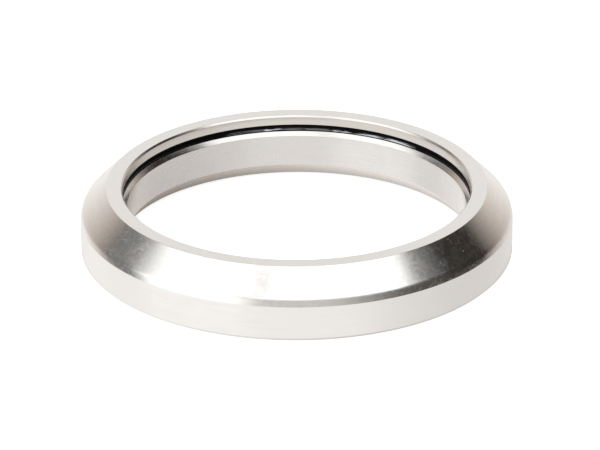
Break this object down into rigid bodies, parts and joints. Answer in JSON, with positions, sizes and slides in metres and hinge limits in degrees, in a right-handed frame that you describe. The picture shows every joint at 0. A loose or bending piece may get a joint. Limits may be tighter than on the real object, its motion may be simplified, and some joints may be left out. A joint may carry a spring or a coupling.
{
  "type": "headset bearing",
  "caption": "Sealed angular-contact cartridge bearing with a bevelled outer ring, a bevelled bore, rubber seals and caged balls.",
  "frame": {"origin": "centre of the resting face of the outer ring, on the bearing axis", "axes": "+Z along the bearing axis, towards the outer bevel; X and Y are equal, and ball_01 lies on +X"},
  "size_m": [0.051, 0.051, 0.008],
  "materials": {
    "outer_ring_steel": "ground and polished bearing steel",
    "inner_ring_steel": "bearing steel, brushed round the bore",
    "seal_rubber": "semi-gloss nitrile rubber",
    "cage_nylon": "natural moulded nylon",
    "ball_steel": "polished bearing steel"
  },
  "bodies": {
    "outer_ring": {"outer_ring": "outer_ring_steel", "upper_seal": "seal_rubber", "lower_seal": "seal_rubber"},
    "inner_ring": {"inner_ring": "inner_ring_steel"},
    "ball_cage": {"ball_cage": "cage_nylon"},
    "ball_01": {"ball_01": "ball_steel"},
    "ball_02": {"ball_02": "ball_steel"},
    "ball_03": {"ball_03": "ball_steel"},
    "ball_04": {"ball_04": "ball_steel"},
    "ball_05": {"ball_05": "ball_steel"},
    "ball_06": {"ball_06": "ball_steel"},
    "ball_07": {"ball_07": "ball_steel"},
    "ball_08": {"ball_08": "ball_steel"},
    "ball_09": {"ball_09": "ball_steel"},
    "ball_10": {"ball_10": "ball_steel"},
    "ball_11": {"ball_11": "ball_steel"},
    "ball_12": {"ball_12": "ball_steel"},
    "ball_13": {"ball_13": "ball_steel"},
    "ball_14": {"ball_14": "ball_steel"},
    "ball_15": {"ball_15": "ball_steel"},
    "ball_16": {"ball_16": "ball_steel"},
    "ball_17": {"ball_17": "ball_steel"},
    "ball_18": {"ball_18": "ball_steel"},
    "ball_19": {"ball_19": "ball_steel"},
    "ball_20": {"ball_20": "ball_steel"},
    "ball_21": {"ball_21": "ball_steel"},
    "ball_22": {"ball_22": "ball_steel"},
    "ball_23": {"ball_23": "ball_steel"},
    "ball_24": {"ball_24": "ball_steel"},
    "ball_25": {"ball_25": "ball_steel"},
    "ball_26": {"ball_26": "ball_steel"},
    "ball_27": {"ball_27": "ball_steel"},
    "ball_28": {"ball_28": "ball_steel"},
    "ball_29": {"ball_29": "ball_steel"},
    "ball_30": {"ball_30": "ball_steel"}
  },
  "joints": [
    {"name": "inner_ring_spin", "type": "hinge", "parent": "outer_ring", "child": "inner_ring", "pos_m": [0, 0, 0.004], "axis": [0, 0, 1], "continuous": true},
    {"name": "cage_spin", "type": "hinge", "parent": "outer_ring", "child": "ball_cage", "pos_m": [0, 0, 0.004], "axis": [0, 0, 1], "continuous": true},
    {"name": "ball_01_roll", "type": "hinge", "parent": "ball_cage", "child": "ball_01", "pos_m": [0.02275, 0, 0.004], "axis": [-0.7071, 0, 0.7071], "continuous": true},
    {"name": "ball_02_roll", "type": "hinge", "parent": "ball_cage", "child": "ball_02", "pos_m": [0.02225, 0.00473, 0.004], "axis": [-0.6917, -0.147, 0.7071], "continuous": true},
    {"name": "ball_03_roll", "type": "hinge", "parent": "ball_cage", "child": "ball_03", "pos_m": [0.02078, 0.00925, 0.004], "axis": [-0.646, -0.2876, 0.7071], "continuous": true},
    {"name": "ball_04_roll", "type": "hinge", "parent": "ball_cage", "child": "ball_04", "pos_m": [0.01841, 0.01337, 0.004], "axis": [-0.5721, -0.4156, 0.7071], "continuous": true},
    {"name": "ball_05_roll", "type": "hinge", "parent": "ball_cage", "child": "ball_05", "pos_m": [0.01522, 0.01691, 0.004], "axis": [-0.4731, -0.5255, 0.7071], "continuous": true},
    {"name": "ball_06_roll", "type": "hinge", "parent": "ball_cage", "child": "ball_06", "pos_m": [0.01137, 0.0197, 0.004], "axis": [-0.3536, -0.6124, 0.7071], "continuous": true},
    {"name": "ball_07_roll", "type": "hinge", "parent": "ball_cage", "child": "ball_07", "pos_m": [0.00703, 0.02164, 0.004], "axis": [-0.2185, -0.6725, 0.7071], "continuous": true},
    {"name": "ball_08_roll", "type": "hinge", "parent": "ball_cage", "child": "ball_08", "pos_m": [0.00238, 0.02263, 0.004], "axis": [-0.0739, -0.7032, 0.7071], "continuous": true},
    {"name": "ball_09_roll", "type": "hinge", "parent": "ball_cage", "child": "ball_09", "pos_m": [-0.00238, 0.02263, 0.004], "axis": [0.0739, -0.7032, 0.7071], "continuous": true},
    {"name": "ball_10_roll", "type": "hinge", "parent": "ball_cage", "child": "ball_10", "pos_m": [-0.00703, 0.02164, 0.004], "axis": [0.2185, -0.6725, 0.7071], "continuous": true},
    {"name": "ball_11_roll", "type": "hinge", "parent": "ball_cage", "child": "ball_11", "pos_m": [-0.01137, 0.0197, 0.004], "axis": [0.3536, -0.6124, 0.7071], "continuous": true},
    {"name": "ball_12_roll", "type": "hinge", "parent": "ball_cage", "child": "ball_12", "pos_m": [-0.01522, 0.01691, 0.004], "axis": [0.4731, -0.5255, 0.7071], "continuous": true},
    {"name": "ball_13_roll", "type": "hinge", "parent": "ball_cage", "child": "ball_13", "pos_m": [-0.01841, 0.01337, 0.004], "axis": [0.5721, -0.4156, 0.7071], "continuous": true},
    {"name": "ball_14_roll", "type": "hinge", "parent": "ball_cage", "child": "ball_14", "pos_m": [-0.02078, 0.00925, 0.004], "axis": [0.646, -0.2876, 0.7071], "continuous": true},
    {"name": "ball_15_roll", "type": "hinge", "parent": "ball_cage", "child": "ball_15", "pos_m": [-0.02225, 0.00473, 0.004], "axis": [0.6917, -0.147, 0.7071], "continuous": true},
    {"name": "ball_16_roll", "type": "hinge", "parent": "ball_cage", "child": "ball_16", "pos_m": [-0.02275, 0, 0.004], "axis": [0.7071, 0, 0.7071], "continuous": true},
    {"name": "ball_17_roll", "type": "hinge", "parent": "ball_cage", "child": "ball_17", "pos_m": [-0.02225, -0.00473, 0.004], "axis": [0.6917, 0.147, 0.7071], "continuous": true},
    {"name": "ball_18_roll", "type": "hinge", "parent": "ball_cage", "child": "ball_18", "pos_m": [-0.02078, -0.00925, 0.004], "axis": [0.646, 0.2876, 0.7071], "continuous": true},
    {"name": "ball_19_roll", "type": "hinge", "parent": "ball_cage", "child": "ball_19", "pos_m": [-0.01841, -0.01337, 0.004], "axis": [0.5721, 0.4156, 0.7071], "continuous": true},
    {"name": "ball_20_roll", "type": "hinge", "parent": "ball_cage", "child": "ball_20", "pos_m": [-0.01522, -0.01691, 0.004], "axis": [0.4731, 0.5255, 0.7071], "continuous": true},
    {"name": "ball_21_roll", "type": "hinge", "parent": "ball_cage", "child": "ball_21", "pos_m": [-0.01137, -0.0197, 0.004], "axis": [0.3536, 0.6124, 0.7071], "continuous": true},
    {"name": "ball_22_roll", "type": "hinge", "parent": "ball_cage", "child": "ball_22", "pos_m": [-0.00703, -0.02164, 0.004], "axis": [0.2185, 0.6725, 0.7071], "continuous": true},
    {"name": "ball_23_roll", "type": "hinge", "parent": "ball_cage", "child": "ball_23", "pos_m": [-0.00238, -0.02263, 0.004], "axis": [0.0739, 0.7032, 0.7071], "continuous": true},
    {"name": "ball_24_roll", "type": "hinge", "parent": "ball_cage", "child": "ball_24", "pos_m": [0.00238, -0.02263, 0.004], "axis": [-0.0739, 0.7032, 0.7071], "continuous": true},
    {"name": "ball_25_roll", "type": "hinge", "parent": "ball_cage", "child": "ball_25", "pos_m": [0.00703, -0.02164, 0.004], "axis": [-0.2185, 0.6725, 0.7071], "continuous": true},
    {"name": "ball_26_roll", "type": "hinge", "parent": "ball_cage", "child": "ball_26", "pos_m": [0.01137, -0.0197, 0.004], "axis": [-0.3536, 0.6124, 0.7071], "continuous": true},
    {"name": "ball_27_roll", "type": "hinge", "parent": "ball_cage", "child": "ball_27", "pos_m": [0.01522, -0.01691, 0.004], "axis": [-0.4731, 0.5255, 0.7071], "continuous": true},
    {"name": "ball_28_roll", "type": "hinge", "parent": "ball_cage", "child": "ball_28", "pos_m": [0.01841, -0.01337, 0.004], "axis": [-0.5721, 0.4156, 0.7071], "continuous": true},
    {"name": "ball_29_roll", "type": "hinge", "parent": "ball_cage", "child": "ball_29", "pos_m": [0.02078, -0.00925, 0.004], "axis": [-0.646, 0.2876, 0.7071], "continuous": true},
    {"name": "ball_30_roll", "type": "hinge", "parent": "ball_cage", "child": "ball_30", "pos_m": [0.02225, -0.00473, 0.004], "axis": [-0.6917, 0.147, 0.7071], "continuous": true}
  ],
  "couplings": [
    {"joint": "cage_spin", "follows": "inner_ring_spin", "ratio": 0.47533},
    {"joint": "ball_01_roll", "follows": "inner_ring_spin", "ratio": -7.1479},
    {"joint": "ball_02_roll", "follows": "inner_ring_spin", "ratio": -7.1479},
    {"joint": "ball_03_roll", "follows": "inner_ring_spin", "ratio": -7.1479},
    {"joint": "ball_04_roll", "follows": "inner_ring_spin", "ratio": -7.1479},
    {"joint": "ball_05_roll", "follows": "inner_ring_spin", "ratio": -7.1479},
    {"joint": "ball_06_roll", "follows": "inner_ring_spin", "ratio": -7.1479},
    {"joint": "ball_07_roll", "follows": "inner_ring_spin", "ratio": -7.1479},
    {"joint": "ball_08_roll", "follows": "inner_ring_spin", "ratio": -7.1479},
    {"joint": "ball_09_roll", "follows": "inner_ring_spin", "ratio": -7.1479},
    {"joint": "ball_10_roll", "follows": "inner_ring_spin", "ratio": -7.1479},
    {"joint": "ball_11_roll", "follows": "inner_ring_spin", "ratio": -7.1479},
    {"joint": "ball_12_roll", "follows": "inner_ring_spin", "ratio": -7.1479},
    {"joint": "ball_13_roll", "follows": "inner_ring_spin", "ratio": -7.1479},
    {"joint": "ball_14_roll", "follows": "inner_ring_spin", "ratio": -7.1479},
    {"joint": "ball_15_roll", "follows": "inner_ring_spin", "ratio": -7.1479},
    {"joint": "ball_16_roll", "follows": "inner_ring_spin", "ratio": -7.1479},
    {"joint": "ball_17_roll", "follows": "inner_ring_spin", "ratio": -7.1479},
    {"joint": "ball_18_roll", "follows": "inner_ring_spin", "ratio": -7.1479},
    {"joint": "ball_19_roll", "follows": "inner_ring_spin", "ratio": -7.1479},
    {"joint": "ball_20_roll", "follows": "inner_ring_spin", "ratio": -7.1479},
    {"joint": "ball_21_roll", "follows": "inner_ring_spin", "ratio": -7.1479},
    {"joint": "ball_22_roll", "follows": "inner_ring_spin", "ratio": -7.1479},
    {"joint": "ball_23_roll", "follows": "inner_ring_spin", "ratio": -7.1479},
    {"joint": "ball_24_roll", "follows": "inner_ring_spin", "ratio": -7.1479},
    {"joint": "ball_25_roll", "follows": "inner_ring_spin", "ratio": -7.1479},
    {"joint": "ball_26_roll", "follows": "inner_ring_spin", "ratio": -7.1479},
    {"joint": "ball_27_roll", "follows": "inner_ring_spin", "ratio": -7.1479},
    {"joint": "ball_28_roll", "follows": "inner_ring_spin", "ratio": -7.1479},
    {"joint": "ball_29_roll", "follows": "inner_ring_spin", "ratio": -7.1479},
    {"joint": "ball_30_roll", "follows": "inner_ring_spin", "ratio": -7.1479}
  ]
}
